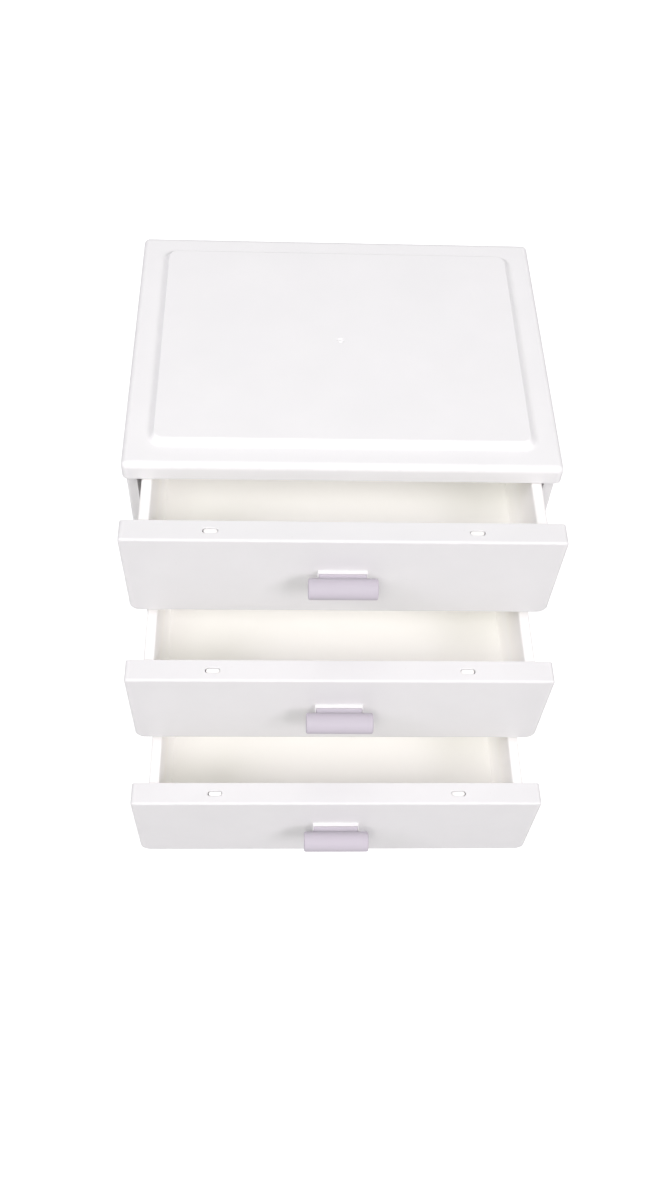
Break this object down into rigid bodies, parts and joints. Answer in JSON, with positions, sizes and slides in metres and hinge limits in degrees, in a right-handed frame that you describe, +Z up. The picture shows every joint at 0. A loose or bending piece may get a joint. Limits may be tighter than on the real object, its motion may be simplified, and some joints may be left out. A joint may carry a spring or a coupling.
{
  "type": "miniature chest of drawers",
  "caption": "Free-standing moulded chest for a doll's house, with deep sliding drawers, capped drawer fronts and short bar pulls.",
  "frame": {"origin": "middle of the base panel's underside, on the surface that the chest stands on", "axes": "+Z up, -Y towards the drawer fronts and the way the drawers open, +X to the right seen from the front"},
  "size_m": [0.1, 0.1385, 0.0966],
  "materials": {
    "cabinet_white": "satin moulded, white",
    "front_white": "satin moulded, white",
    "tray_white": "satin moulded, warm white",
    "handle_lavender": "satin moulded, lavender grey",
    "screw_steel": "zinc plated"
  },
  "bodies": {
    "cabinet": {"lid": "cabinet_white", "left_side_panel": "cabinet_white", "right_side_panel": "cabinet_white", "back_panel": "cabinet_white", "base_panel": "cabinet_white", "upper_divider": "tray_white", "lower_divider": "tray_white", "front_left_base_screw": "screw_steel", "front_right_base_screw": "screw_steel", "back_left_base_screw": "screw_steel", "back_right_base_screw": "screw_steel"},
    "top_drawer": {"top_drawer_front": "front_white", "top_drawer_tray": "tray_white", "top_drawer_handle": "handle_lavender"},
    "middle_drawer": {"middle_drawer_front": "front_white", "middle_drawer_tray": "tray_white", "middle_drawer_handle": "handle_lavender"},
    "bottom_drawer": {"bottom_drawer_front": "front_white", "bottom_drawer_tray": "tray_white", "bottom_drawer_handle": "handle_lavender"}
  },
  "joints": [
    {"name": "top_drawer_slide", "type": "slide", "parent": "cabinet", "child": "top_drawer", "axis": [0, -1, 0], "range_m": [-0.015, 0.041]},
    {"name": "middle_drawer_slide", "type": "slide", "parent": "cabinet", "child": "middle_drawer", "axis": [0, -1, 0], "range_m": [-0.0335, 0.0225]},
    {"name": "bottom_drawer_slide", "type": "slide", "parent": "cabinet", "child": "bottom_drawer", "axis": [0, -1, 0], "range_m": [-0.0508, 0.0052]}
  ]
}
